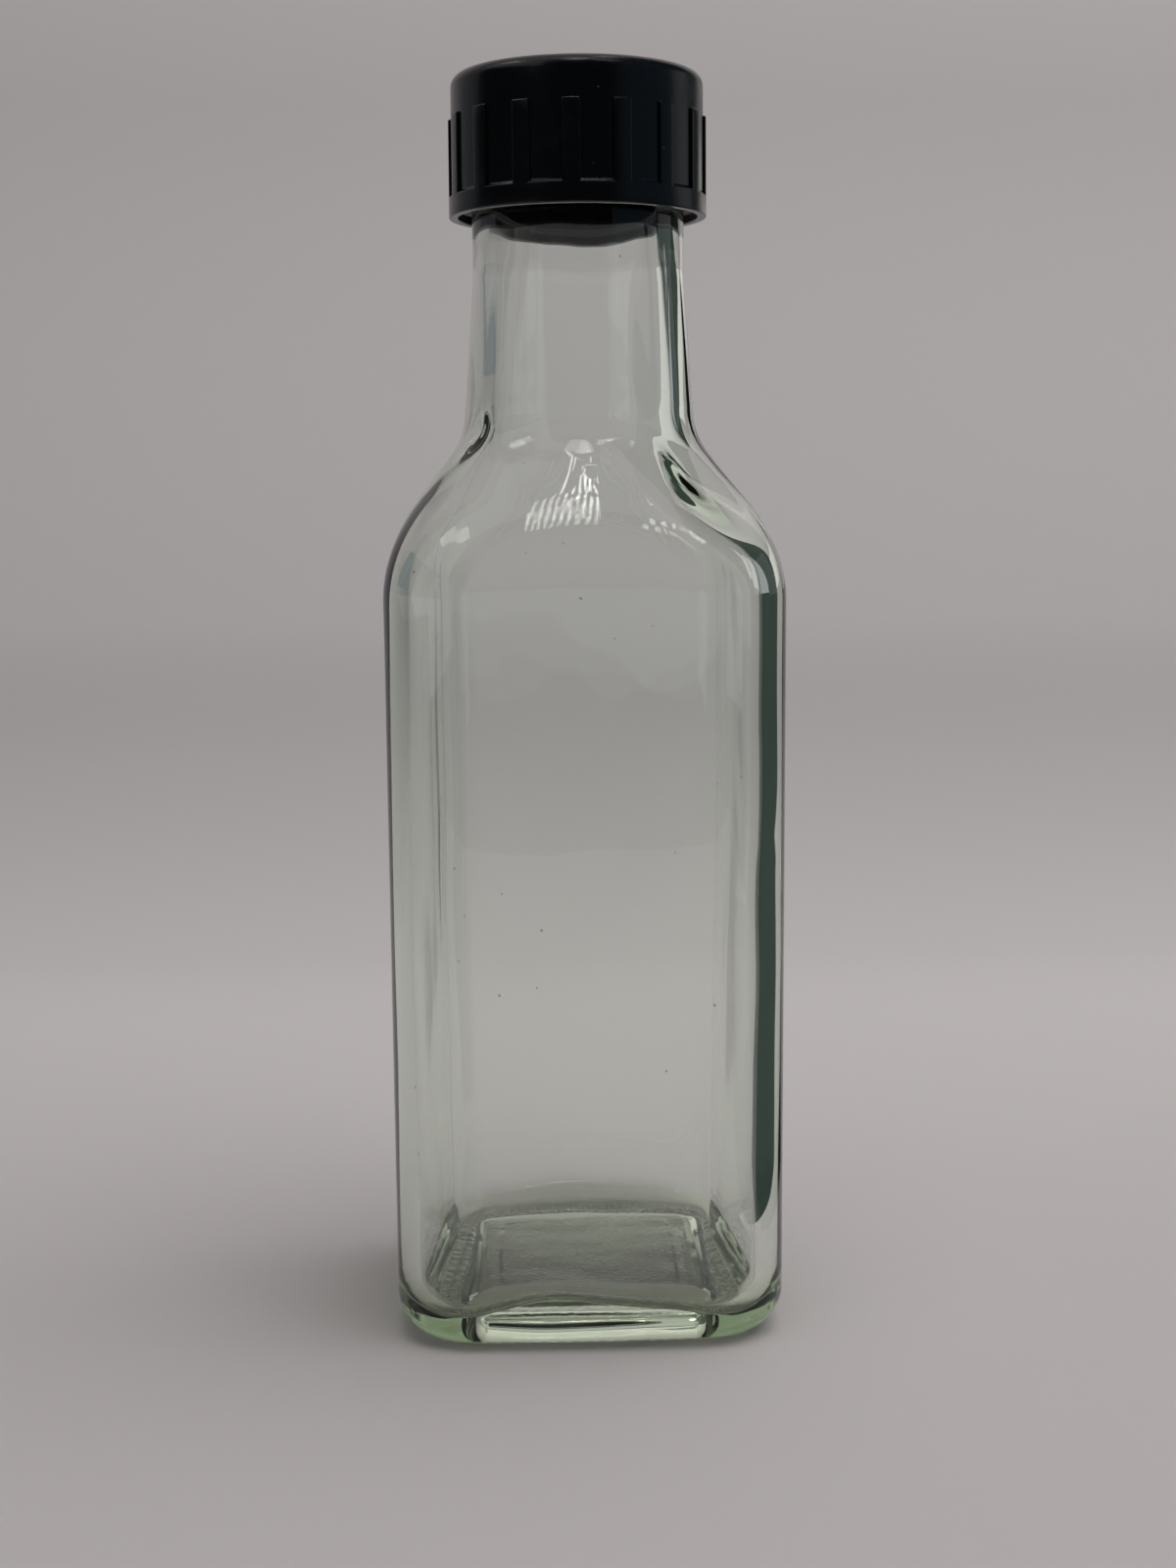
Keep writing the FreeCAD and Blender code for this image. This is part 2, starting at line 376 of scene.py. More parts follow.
def glass_material(sizes):
    """Clear glass, rough where the mould left its grain, and a little yellower in the thick base."""
    material, nodes, links, out = new_material("clear_glass")
    shader, marks = marked_shader(nodes, links, out, {
        "Speck scale": 210.0, "Speck size": 0.04, "Wave scale": 260.0, "Wave height": 0.03,
        "Grain scale": 1300.0})
    fill(shader, {"Metallic": 0, "IOR": 1.52, "Transmission Weight": 1})
    dust = dusted(nodes, links, marks, (1, 1, 1), sizes.dust, shader)
    cast = nodes.new("ShaderNodeAttribute")
    cast.attribute_name = "cast"
    scaled(nodes, links, cast.outputs["Fac"], sizes.cast_roughness, shader.inputs["Roughness"])
    scaled(nodes, links, cast.outputs["Fac"], sizes.cast_grain, marks.inputs["Grain height"])
    tone = colour_mix(nodes, (1, 1, 1), sizes.base_tone)
    place = nodes.new("ShaderNodeTexCoord")
    split = nodes.new("ShaderNodeSeparateXYZ")
    thick = fill(nodes.new("ShaderNodeMapRange"), {
        "From Min": sizes.floor + 0.001, "From Max": sizes.push_up})
    wire(links, place, "Object", split, 0)
    wire(links, split, "Z", thick, "Value")
    wire(links, thick, 0, tone, "Factor")
    wire(links, tone, "Result", dust, "A")
    depth = fill(nodes.new("ShaderNodeVolumeAbsorption"), {
        "Color": (*sizes.tint, 1), "Density": sizes.tint_density})
    wire(links, depth, 0, out, "Volume")
    return material


def plastic_material(sizes):
    """Near-black plastic with a soft gloss, duller in its smears."""
    material, nodes, links, out = new_material("cap_plastic")
    shader, marks = marked_shader(nodes, links, out, {
        "Smear scale": 130.0, "Speck scale": 420.0, "Speck size": 0.05,
        "Wave scale": 700.0, "Wave height": 0.06, "Grain scale": 4000.0, "Grain height": 0.08})
    shader.inputs["IOR"].default_value = 1.5
    dusted(nodes, links, marks, sizes.plastic, sizes.dust, shader)
    smeared(nodes, links, marks, 0.22, 0.36, shader)
    return material


# ---------------------------------------------------------------- glass

# Points along each side and corner of an outline.
SIDE_POINTS = 40
CORNER_POINTS = 40
INNER_POINTS = 24
FINE = 3  # the bars round the bearing edge have this many times the points

# Rings along each stretch of the bottle, from the middle of its underside up to its mouth.
PLATEAU_STEPS = 4
PUSH_UP_STEPS = 22
BEARING_STEPS = 6
BAR_STEPS = 6
FLOOR_STEPS = 14
HEEL_STEPS = 10
WALL_STEPS = 54
CONVEX_STEPS = 20
SLOPE_STEPS = 6
CONCAVE_STEPS = 14
NECK_STEPS = 18
STRAIGHT_STEPS = 10
FINISH_STEPS = 12
BORE_STEPS = 14
LIP_STEPS = 5

# Waves of the glass: how much slower they change with height, their size in metres, and their seed.
OUTER_WAVES = (0.7, 0.009, 3.0)
SLOW_WAVES = (0.45, 0.02, 7.0)
QUICK_WAVES = (0.6, 0.008, 11.0)
NECK_WAVES = (0.16, 0.0045, 17.0)
FLOOR_WAVES = (1.0, 0.0032, 5.0)

ROUND_BOW = math.radians(20)  # turn of the side arcs where the outline has become round
SEAM_WIDTH = 0.00028


def shoulder_profile(s, half, foot, convex, concave):
    """Half-widths and heights from the sides to the foot of the neck."""
    run = half - foot - (convex + concave) * (1 - math.cos(s.slope))
    slope_start = s.shoulder_start + convex * math.sin(s.slope)
    slope_end = slope_start + run / math.tan(s.slope)
    foot_height = slope_end + concave * math.sin(s.slope)
    points = []
    for turn in arc(0, s.slope, CONVEX_STEPS):
        points.append((half - convex * (1 - math.cos(turn)), s.shoulder_start + convex * math.sin(turn)))
    slope_width = points[-1][0]
    for height in between(slope_start, slope_end, SLOPE_STEPS):
        points.append((slope_width - (height - slope_start) * math.tan(s.slope), height))
    for turn in arc(s.slope, 0, CONCAVE_STEPS):
        points.append((foot + concave * (1 - math.cos(turn)), foot_height - concave * math.sin(turn)))
    return points


def body_rings(s, low_half, high_half, corner, radius, bottom, foot, convex, concave):
    """Half-width, corner radius, bow and height of each ring, from the heel to the neck's foot."""
    rings = []
    for turn in arc(0, math.pi / 2, HEEL_STEPS):
        inset = radius * (1 - math.sin(turn))
        rings.append((low_half - inset, corner - inset, s.bow, bottom + radius * (1 - math.cos(turn))))
    start = bottom + radius
    for height in between(start, s.shoulder_start, WALL_STEPS):
        share = (height - start) / (s.shoulder_start - start)
        rings.append((low_half + (high_half - low_half) * share, corner, s.bow, height))
    for width, height in shoulder_profile(s, high_half, foot, convex, concave):
        share = (high_half - width) / (high_half - foot)
        round_bow = s.bow + (ROUND_BOW - s.bow) * share
        rings.append((width, corner + (width - corner) * share, round_bow, height))
    return rings


def faded(distance, run):
    """A share that is 0 up to where the distance starts, and 1 from the end of the run on."""
    return min(max(distance / run, 0), 1)


def unevenness(x, y, z, waves):
    """Smooth unevenness from -1 to 1."""
    squash, size, seed = waves
    return noise.noise(Vector((x, y, z * squash)) / size + Vector((seed, seed * 1.7, -seed)))


def seam_height(s, x, y, z):
    """A narrow ridge up two opposite sides of the shoulder and the neck."""
    fade = faded(z - s.shoulder_start, 0.01)
    offset = abs(math.sin(math.atan2(y, x) - s.seam_side)) * math.hypot(x, y)
    return s.seam * fade * math.exp(-(offset / SEAM_WIDTH) ** 2)


def level(points, height):
    return [(x, y, height) for x, y in points]


def pushed(points, height, shift):
    """Points moved outwards, away from the axis of the bottle, by shift(x, y, height)."""
    ring = []
    for x, y in points:
        reach = math.hypot(x, y)
        scale = 1 + shift(x, y, height) / reach
        ring.append((x * scale, y * scale, height))
    return ring


def outer_rings(s, foot_height, lip_height):
    """Rings of the outside, from the heel up to the mouth. The waves and the seam end below the cap."""
    waves_end = s.shoulder_start + 0.044

    def shift(x, y, z):
        calm = faded(waves_end - z, 0.01)
        wave = s.wave_outside * calm * unevenness(x, y, z, OUTER_WAVES)
        return wave + seam_height(s, x, y, z) * calm - s.wave_outside * calm

    rings = []
    for half, corner, bow, z in body_rings(
            s, s.half_base, s.half_top, s.corner, s.heel, 0, s.neck_foot,
            s.shoulder_radius, s.neck_fillet):
        points = outline(half, corner, bow, SIDE_POINTS, CORNER_POINTS)
        rings.append(pushed(points, z, shift) if z > 0 else level(points, 0))
    rim = CAP_BOX[0][2]
    taper = rim - s.neck_straight
    neck = between(foot_height, taper, NECK_STEPS) + [taper] + between(taper, rim, STRAIGHT_STEPS) + [rim]
    for z in neck:
        share = min((z - foot_height) / (taper - foot_height), 1)
        radius = s.neck_foot + (s.neck_top - s.neck_foot) * share
        rings.append(pushed(outline(radius, radius, ROUND_BOW, SIDE_POINTS, CORNER_POINTS), z, shift))
    for z in between(rim, lip_height - s.lip, FINISH_STEPS):
        points = outline(s.neck_top, s.neck_top, ROUND_BOW, SIDE_POINTS, CORNER_POINTS)
        rings.append(level(points, z))
    for turn in arc(0, math.pi / 2, LIP_STEPS):
        radius = s.neck_top - s.lip * (1 - math.cos(turn))
        z = lip_height - s.lip * (1 - math.sin(turn))
        points = outline(radius, radius, ROUND_BOW, SIDE_POINTS, CORNER_POINTS)
        rings.append(level(points, z))
    return rings


def inner_rings(s, lip_height):
    """Rings of the inside, from the floor up to the mouth."""
    foot = s.neck_foot - s.neck_foot_wall
    mouth = s.neck_top - s.finish_wall

    # Depth, direction, height, degrees to either side, and metres up and down, of each thicker place.
    folds = (
        (s.fold, s.fold_side, s.fold_height, 12, 0.0045),
        (0.6 * s.fold, -math.pi - s.fold_side / 2, s.fold_height + 0.0075, 6, 0.0025))

    def shift(x, y, z):
        calm = faded(lip_height - z, 0.02)
        slow = unevenness(x, y, z, SLOW_WAVES)
        quick = 0.3 * unevenness(x, y, z, QUICK_WAVES)
        neck = faded(z - s.shoulder_start - 0.01, 0.015)
        neck_waves = s.neck_waves * neck * unevenness(x, y, z, NECK_WAVES)
        uneven = s.wave_inside * (slow + quick) + neck_waves
        for depth, side, height, turn, rise in folds:
            aside = (math.atan2(y, x) - side) / math.radians(turn)
            uneven -= depth * math.exp(-aside ** 2 - ((z - height) / rise) ** 2)
        return calm * uneven

    def floor_lift(x, y, z):
        """The floor set unevenly: higher at the back, sunk in its corners, and swollen at the front."""
        swell_x, swell_width, swell_depth = -0.0055, 0.007, 0.008
        fade = max(1 - max(z - s.floor, 0) / (3 * s.inner_heel), 0) ** 2
        slope = s.floor_slope * y / (2 * s.half_base)
        swell = s.floor_swell * math.exp(
            -((x - swell_x) / swell_width) ** 2 - ((y + s.half_base) / swell_depth) ** 2)
        sink = s.floor_sink * (x * y / (s.half_base - s.wall) ** 2) ** 2
        ripple = unevenness(x * 0.45, y, 0, FLOOR_WAVES)
        return fade * (slope + swell - sink + s.sag * ripple)

    body = body_rings(
        s, s.half_base - s.wall, s.half_top - s.wall, s.inner_corner, s.inner_heel, s.floor, foot,
        s.shoulder_radius - s.wall, s.neck_fillet + s.wall)
    first = outline(body[0][0], body[0][1], s.bow, INNER_POINTS, INNER_POINTS)
    rings = []
    for share in between(0, 1, FLOOR_STEPS):
        rings.append([(x * share, y * share, s.floor) for x, y in first])
    for half, corner, bow, z in body:
        points = outline(half, corner, bow, INNER_POINTS, INNER_POINTS)
        rings.append(pushed(points, z, shift))
    rings = [[(x, y, z + floor_lift(x, y, z)) for x, y, z in ring] for ring in rings]
    foot_height = body[-1][3]
    rim = CAP_BOX[0][2]
    taper = rim - s.neck_straight
    waist = s.neck_top - s.neck_wall
    neck = between(foot_height, taper, NECK_STEPS) + between(taper, rim, STRAIGHT_STEPS)
    for z in neck + between(rim, lip_height - s.lip, BORE_STEPS):
        radius = foot + (waist - foot) * (z - foot_height) / (taper - foot_height)
        if z > taper:
            radius = waist + (mouth - waist) * min((z - taper) / (rim - taper), 1)
        rings.append(pushed(outline(radius, radius, ROUND_BOW, INNER_POINTS, INNER_POINTS), z, shift))
    for turn in arc(0, math.pi / 2, LIP_STEPS):
        radius = mouth + s.lip * (1 - math.cos(turn))
        z = lip_height - s.lip * (1 - math.sin(turn))
        points = outline(radius, radius, ROUND_BOW, INNER_POINTS, INNER_POINTS)
        rings.append(level(points, z))
    centre = (0, 0, s.floor + floor_lift(0, 0, s.floor))
    return rings, centre


def knurled(s, half, corner, height, share):
    """A ring of the bearing edge with its small bars, deepest halfway across."""
    points = outline(half, corner, s.bow, SIDE_POINTS * FINE, CORNER_POINTS * FINE)
    depth = s.knurl_depth * math.sin(math.pi * share) / 2
    step = 2 * math.pi * s.knurls / len(points)
    return [(x, y, height + depth * (1 + math.cos(step * index))) for index, (x, y) in enumerate(points)]


def under_rings(s):
    """Rings under the base, from the middle of the hollow out to where the bars end on the heel."""
    contact = s.half_base - s.heel
    edge = contact - s.ring
    least_corner = 0.0008
    crowding = 1.3  # above 1 the rings stand closer together towards the edge
    marks_turn = 34  # radians that the turning marks go through, from the edge to the middle
    rings = []
    inner = outline(edge - s.push_up_run, least_corner, s.bow, SIDE_POINTS, CORNER_POINTS)
    for share in between(0, 1, PLATEAU_STEPS):
        rings.append([(x * share, y * share, s.push_up) for x, y in inner])
    for step in range(PUSH_UP_STEPS, 0, -1):
        share = (step / PUSH_UP_STEPS) ** crowding
        inset = s.push_up_run * share
        z = s.push_up * (1 - (1 - share) ** 3) + s.turning * math.sin(share * marks_turn) * (1 - share)
        corner = max(s.push_up_corner - inset, least_corner)
        points = outline(edge - inset, corner, s.bow, SIDE_POINTS, CORNER_POINTS)
        rings.append(level(points, z))
    for step in range(BEARING_STEPS):
        share = step / BEARING_STEPS
        corner = s.push_up_corner + (s.corner - s.heel - s.push_up_corner) * share
        rings.append(knurled(s, edge + s.ring * share, corner, 0, share))
    for step in range(BAR_STEPS + 1):
        turn = s.knurl_rise * step / BAR_STEPS
        reach = s.heel * math.sin(turn)
        height = s.heel * (1 - math.cos(turn))
        rings.append(knurled(s, contact + reach, s.corner - s.heel + reach, height, step / BAR_STEPS))
    return rings, (0, 0, s.push_up)


def build_glass(s):
    """The outside and the inside of the bottle as one closed mesh, joined across the lip."""
    foot_height = shoulder_profile(s, s.half_top, s.neck_foot, s.shoulder_radius, s.neck_fillet)[-1][1]
    lip_height = CAP_BOX[1][2] - bpy.context.scene.cap_sizes.top_thickness
    under, under_centre = under_rings(s)
    outer = outer_rings(s, foot_height, lip_height)
    knurl_top = s.heel * (1 - math.cos(s.knurl_rise))
    outer = [ring for ring in outer if ring[0][2] > 1.01 * knurl_top]
    vertices, faces = stitch(under + outer, first_centre=under_centre)
    inside, floor_centre = inner_rings(s, lip_height)
    inner_vertices, inner_faces = stitch(inside, first_centre=floor_centre)
    base = len(vertices)
    lip_outer = base - 1 - len(outer[-1])
    vertices += inner_vertices
    faces += [[base + v for v in face][::-1] for face in inner_faces]
    lip_inner = base + len(inner_vertices) - 1 - len(inside[-1])
    faces += bridge(lip_outer, len(outer[-1]), lip_inner, len(inside[-1]))
    glass = mesh_object("bottle_glass", vertices, faces, glass_material(s))
    cast = glass.data.attributes.new("cast", "FLOAT", "POINT")
    for index, (x, y, z) in enumerate(vertices):
        cast.data[index].value = cast_share(s, y, z, index < base)
    return glass


def cast_share(s, y, z, outside):
    """How grainy the glass is: most on the bars, then in the hollow, and least at the floor's far edge."""
    on_bars, at_floor_edge = 1.5, 0.6
    past_edge, edge_width, edge_height = 0.0012, 0.0016, 0.006
    half = s.half_base - s.wall - s.inner_heel
    if outside and z < 2 * s.knurl_depth:
        return on_bars
    if outside:
        in_hollow = z <= s.push_up and abs(y) < half - s.ring
        return faded(5 * (z / s.push_up - 0.75), 1) if in_hollow else 0
    if z < s.floor + edge_height:
        return at_floor_edge * math.exp(-((y - half - past_edge) / edge_width) ** 2)
    return 0


def bridge(outer_start, outer_count, inner_start, inner_count):
    """Faces across the top of the lip, between rings whose counts differ."""
    common = math.gcd(outer_count, inner_count)
    step_a, step_b = outer_count // common, inner_count // common
    faces = []
    for k in range(common):
        a = [outer_start + (k * step_a + j) % outer_count for j in range(step_a + 1)]
        b = [inner_start + (k * step_b + j) % inner_count for j in range(step_b + 1)]
        faces.append(a + b[::-1])
    return faces


class BOTTLE_OT_glass(bpy.types.Operator):
    """Build the bottle of clear glass"""
    bl_idname = "bottle.glass"
    bl_label = "Glass bottle"

    def execute(self, context):
        glass = build_glass(context.scene.bottle_sizes)
        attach(glass, "root")
        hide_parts("bottle")
        return {"FINISHED"}


# ---------------------------------------------------------------- cap

CAP_STEPS = 180  # points round the cap
SHARP_ANGLE = math.radians(50)  # ribs shade as edges where their faces meet at more than this


def lathe(name, profile, steps, material):
    """A closed piece turned about the axis from a closed profile of (radius, height)."""
    rings = []
    for radius, height in profile:
        rings.append([
            (radius * math.cos(2 * math.pi * k / steps), radius * math.sin(2 * math.pi * k / steps), height)
            for k in range(steps)])
    vertices, faces = stitch(rings, (0, 0, profile[0][1]), (0, 0, profile[-1][1]))
    return mesh_object(name, vertices, faces, material)


def rounded(centre_x, centre_z, radius, start, stop, steps=5):
    """Profile points round a corner, about a centre."""
    return [
        (centre_x + radius * math.cos(t), centre_z + radius * math.sin(t)) for t in arc(start, stop, steps)]


def cap_profile(s):
    """Profile of the cap from the middle of its inside, round the rim and up to the middle of its top."""
    rim, top = CAP_BOX[0][2], CAP_BOX[1][2]
    roof = top - s.top_thickness
    quarter = math.pi / 2
    e = s.edge
    opening = s.rim_radius - s.lip_wall
    near, nearer = 0.001, 0.0004  # distances of the extra points that keep the faces flat beside an edge
    profile = [(s.bore * share, roof) for share in (0.3, 0.6, 0.9)]
    profile += [(s.bore, roof), (s.bore, roof - near), (s.bore, rim + s.lip_depth + near)]
    profile += rounded(s.bore + e, rim + s.lip_depth + e, e, 2 * quarter, 3 * quarter)
    profile += [(opening, rim + s.lip_depth), (opening, rim + s.lip_depth - nearer)]
    profile += rounded(opening + e, rim + e, e, 2 * quarter, 3 * quarter)
    profile += rounded(s.rim_radius - e, rim + e, e, -quarter, 0)
    profile += [(s.rim_radius, rim + 2 * nearer)]
    profile += rounded(s.rim_radius - e, rim + s.band - e, e, 0, quarter)
    profile += [(s.wall_radius, rim + s.band), (s.wall_radius, rim + s.band + nearer)]
    profile += [(s.wall_radius, z) for z in between(rim + s.band + nearer, top - s.top_rounding, 8)]
    profile += rounded(s.wall_radius - s.top_rounding, top - s.top_rounding, s.top_rounding, 0, quarter, 8)
    profile += [((s.wall_radius - s.top_rounding) * share, top) for share in (0.9, 0.6, 0.3)]
    return profile


def rib_mesh(s):
    """One rib along +X at the height of the band, with rounded outer edges and a sloped top end."""
    rim = CAP_BOX[0][2]
    low = rim + s.band - s.rib_sink
    high = rim + s.band + s.rib_height
    root = s.wall_radius - s.rib_sink
    half = s.rib_width / 2
    e = s.rib_edge
    crown = s.rim_radius - math.sqrt(s.rim_radius ** 2 - half ** 2)
    side = [(root, -half), (s.wall_radius + e, -half)]
    turns = arc(-math.pi / 2, 0, 4)
    side += [(s.rim_radius - crown - e + e * math.cos(t), -half + e + e * math.sin(t)) for t in turns]
    side += [(s.rim_radius - crown / 4, -half / 2), (s.rim_radius, 0)]
    section = side + [(x, -y) for x, y in reversed(side[:-1])]
    rings = [level(section, height) for height in [low] + between(low, high - e, 6) + [high - e]]
    for turn in arc(0, math.pi / 2, 4)[1:]:
        inset = e * (1 - math.cos(turn))
        shrink = 1 - inset / half
        rings.append([(max(x - inset, root), y * shrink, high - e + e * math.sin(turn)) for x, y in section])
    middle = (root + s.rim_radius) / 2
    vertices, faces = stitch(rings, (middle, 0, low), (middle, 0, high))
    mesh = bpy.data.meshes.new("rib")
    mesh.from_pydata(vertices, [], faces)
    return mesh


def rib_ring_tree(rib, material):
    """Geometry nodes: copies of one rib, turned evenly round the cap."""
    tree = bpy.data.node_groups.new("rib_ring", "GeometryNodeTree")
    tree.interface.new_socket("Geometry", in_out="INPUT", socket_type="NodeSocketGeometry")
    number_of = tree.interface.new_socket("Rib count", in_out="INPUT", socket_type="NodeSocketInt")
    first = tree.interface.new_socket("First rib", in_out="INPUT", socket_type="NodeSocketFloat")
    tree.interface.new_socket("Geometry", in_out="OUTPUT", socket_type="NodeSocketGeometry")
    nodes, links = tree.nodes, tree.links
    given = nodes.new("NodeGroupInput")
    result = nodes.new("NodeGroupOutput")
    points = nodes.new("GeometryNodePoints")
    index = nodes.new("GeometryNodeInputIndex")
    step = maths(nodes, "DIVIDE")
    step.inputs[0].default_value = 2 * math.pi
    turn = maths(nodes, "MULTIPLY_ADD")
    spin = nodes.new("ShaderNodeCombineXYZ")
    source = fill(nodes.new("GeometryNodeObjectInfo"), {"Object": rib})
    copies = nodes.new("GeometryNodeInstanceOnPoints")
    real = nodes.new("GeometryNodeRealizeInstances")
    paint = fill(nodes.new("GeometryNodeSetMaterial"), {"Material": material})
    wire(links, given, "Rib count", points, "Count")
    wire(links, given, "Rib count", step, 1)
    wire(links, index, 0, turn, 0)
    wire(links, step, 0, turn, 1)
    wire(links, given, "First rib", turn, 2)
    wire(links, turn, 0, spin, "Z")
    wire(links, points, 0, copies, "Points")
    wire(links, source, "Geometry", copies, "Instance")
    wire(links, spin, 0, copies, "Rotation")
    wire(links, copies, 0, real, 0)
    wire(links, real, 0, paint, "Geometry")
    wire(links, paint, 0, result, 0)
    return tree, number_of.identifier, first.identifier


def run_nodes(name, tree, values):
    """A plain mesh object from a geometry nodes tree, with values by socket identifier."""
    carrier = placed(name, bpy.data.meshes.new(name + "_carrier"))
    modifier = carrier.modifiers.new("nodes", "NODES")
    modifier.node_group = tree
    for identifier, value in values.items():
        modifier[identifier] = value
    depsgraph = bpy.context.evaluated_depsgraph_get()
    mesh = bpy.data.meshes.new_from_object(carrier.evaluated_get(depsgraph))
    carrier.modifiers.clear()
    carrier.data = mesh
    return carrier


def build_ribs(s, material):
    """All the ribs as one piece."""
    single = placed("single_rib", rib_mesh(s))
    tree, number_of, first = rib_ring_tree(single, material)
    ribs = run_nodes("cap_ribs", tree, {number_of: s.ribs, first: s.first_rib})
    bpy.data.objects.remove(single)
    for polygon in ribs.data.polygons:
        polygon.use_smooth = True
    ribs.data.set_sharp_from_angle(angle=SHARP_ANGLE)
    return ribs


class BOTTLE_OT_cap(bpy.types.Operator):
    """Build the cap with its band and ribs"""
    bl_idname = "bottle.cap"
    bl_label = "Cap"

    def execute(self, context):
        s = context.scene.cap_sizes
        material = plastic_material(s)
        shell = lathe("cap_shell", cap_profile(s), CAP_STEPS, material)
        for piece in (shell, build_ribs(s, material)):
            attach(piece, "root")
            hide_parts("cap")
        return {"FINISHED"}


# ---------------------------------------------------------------- studio

def stage_material(s):
    """Paper with painted light and shade: its tone changes softly with the distance along the sweep, from
    front to top.
    """
    material, nodes, links, out = new_material("studio_paper")
    shader = fill(nodes.new("ShaderNodeBsdfPrincipled"), {"Roughness": 0.9, "Specular IOR Level": 0.1})
    place = nodes.new("ShaderNodeTexCoord")
    split = nodes.new("ShaderNodeSeparateXYZ")
    along = maths(nodes, "ADD")
    ramp = nodes.new("ShaderNodeValToRGB")
    ramp.color_ramp.interpolation = "B_SPLINE"
    # Painted light and shade along the sweep, from the front of the floor to the top of the backdrop.
    stops = ((0.0, s.front_floor_shading), (0.12, s.front_floor_shading), (0.28, s.rear_floor_shading), (0.38, s.rear_floor_shading),
             (0.55, s.bend_shading), (0.64, s.bend_shading), (1.0, s.backdrop_shading))
    while len(ramp.color_ramp.elements) < len(stops):
        ramp.color_ramp.elements.new(0.5)
    for element, (position, tone) in zip(ramp.color_ramp.elements, stops):
        element.position = position
        element.color = (*tone, 1)
    front, top = -0.1, 0.75  # distances along the sweep where the ramp starts and ends
    span = fill(nodes.new("ShaderNodeMapRange"), {"From Min": front, "From Max": top})
    wire(links, place, "Object", split, 0)
    wire(links, split, "Y", along, 0)
    wire(links, split, "Z", along, 1)
    wire(links, along, 0, span, "Value")
    wire(links, span, 0, ramp, 0)
    wire(links, ramp, 0, shader, "Base Color")
    wire(links, shader, 0, out, "Surface")
    return material


def build_sweep(s):
    """Floor and backdrop in one sheet of paper with a wide bend."""
    bend_start, radius, top, half_width, front = 0.22, 0.22, 1.2, 1.6, -1.2
    profile = [(front, 0), (-0.3, 0), (0, 0)]
    for turn in arc(0, math.pi / 2, 24):
        profile.append((bend_start + radius * math.sin(turn), radius * (1 - math.cos(turn))))
    profile.append((bend_start + radius, top))
    vertices, faces = [], []
    for y, z in profile:
        vertices += [(-half_width, y, z), (half_width, y, z)]
    for index in range(len(profile) - 1):
        a = 2 * index
        faces.append([a, a + 1, a + 3, a + 2])
    sweep = mesh_object("studio_sweep", vertices, faces, stage_material(s))


def area_light(name, place, target, width, power):
    """A square light that faces its target."""
    data = bpy.data.lights.new(name, "AREA")
    data.shape = "RECTANGLE"
    data.size, data.size_y = width, width
    data.energy = power
    lamp = placed(name, data)
    lamp.location = place
    lamp.rotation_euler = (Vector(target) - Vector(place)).to_track_quat("-Z", "Y").to_euler()
    return lamp


def only_mirrored(piece):
    """The glass and the gloss see the piece, but it hides nothing and casts no shadow."""
    piece.visible_camera = False
    piece.visible_diffuse = False
    piece.visible_shadow = False


def card(name, corners, material):
    """A flat card with four corners."""
    piece = mesh_object(name, corners, [[0, 1, 2, 3]], material, smooth=False)
    only_mirrored(piece)
    return piece


def card_material(name, tone, strength=1.0, lights_paper=False):
    """A glow that the glass shows. On its way to the paper, light passes it, or comes only from it."""
    material, nodes, links, out = new_material(name)
    glow = fill(nodes.new("ShaderNodeEmission"), {"Color": (*tone, 1), "Strength": strength})
    clear = nodes.new("ShaderNodeBsdfTransparent")
    path = nodes.new("ShaderNodeLightPath")
    choice = nodes.new("ShaderNodeMixShader")
    wire(links, path, "Diffuse Depth", choice, 0)
    first, second = (clear, glow) if lights_paper else (glow, clear)
    wire(links, first, 0, choice, 1)
    wire(links, second, 0, choice, 2)
    wire(links, choice, 0, out, "Surface")
    material.cycles.emission_sampling = "NONE"
    return material


def upright(name, foot_a, foot_b, low, high, material):
    """An upright card between two points of the floor plan."""
    (ax, ay), (bx, by) = foot_a, foot_b
    return card(name, [(ax, ay, low), (bx, by, low), (bx, by, high), (ax, ay, high)], material)


def build_cards(s):
    """What the glass and the gloss mirror: a dark room with paler parts and windows at its sides."""
    black = card_material("black_card", (0.010, 0.013, 0.012))
    shade = card_material("shade_card", (0.028, 0.042, 0.037))
    dim = card_material("dim_card", (0.06, 0.085, 0.11))
    grey = card_material("grey_card", (0.18, 0.195, 0.205))
    pale = card_material("pale_card", (0.33, 0.34, 0.35))
    bright = card_material("strip_light", (1.0, 0.98, 0.95), 0.75)
    side, front, back, ceiling = 0.28, -0.4, 0.3, 0.9
    right_turn = -0.02  # where the right wall changes from black to shade
    on_floor = 0.0004
    low, high = s.strip_low, s.strip_high
    foot = 0.1  # lower edge of the pale card and of the strip of light
    inside = side - 0.002  # just inside the walls
    upright("right_wall", (side, right_turn), (side, back), 0, ceiling, shade)
    card("right_floor", [(0.06, right_turn, on_floor), (side, -0.15, on_floor), (side, back, on_floor),
                         (0.06, 0.045, on_floor)], shade)
    upright("right_pale", (inside, 0.015), (inside, 0.14), foot, 0.26, pale)
    upright("right_strip", (inside, 0.29), (0.185, 0.425), foot, high, bright)
    upright("left_dim", (-side, 0.05), (-side, 0.24), low, 0.22, grey)
    outside_only = (
        upright("right_dim", (inside, front), (inside, 0.0), low, 0.5, dim),
        upright("right_front_wall", (side, front), (side, right_turn), 0, ceiling, black),
        upright("left_wall", (-side, front), (-side, 0.05), low, 0.3, black),
        upright("front_wall", (-side, front), (side, front), 0, ceiling, black))
    for piece in outside_only:
        piece.visible_transmission = False
    window = card_material("window", (0.95, 0.98, 1.0), s.window_strength)
    for name, foot_x, near, far in (
            ("left_window", -inside, -0.26, -0.07), ("right_window", inside - 0.004, -0.2, -0.08)):
        pane = upright(name, (foot_x, near), (foot_x, far), 0.05, high, window)
        pane.visible_glossy = False


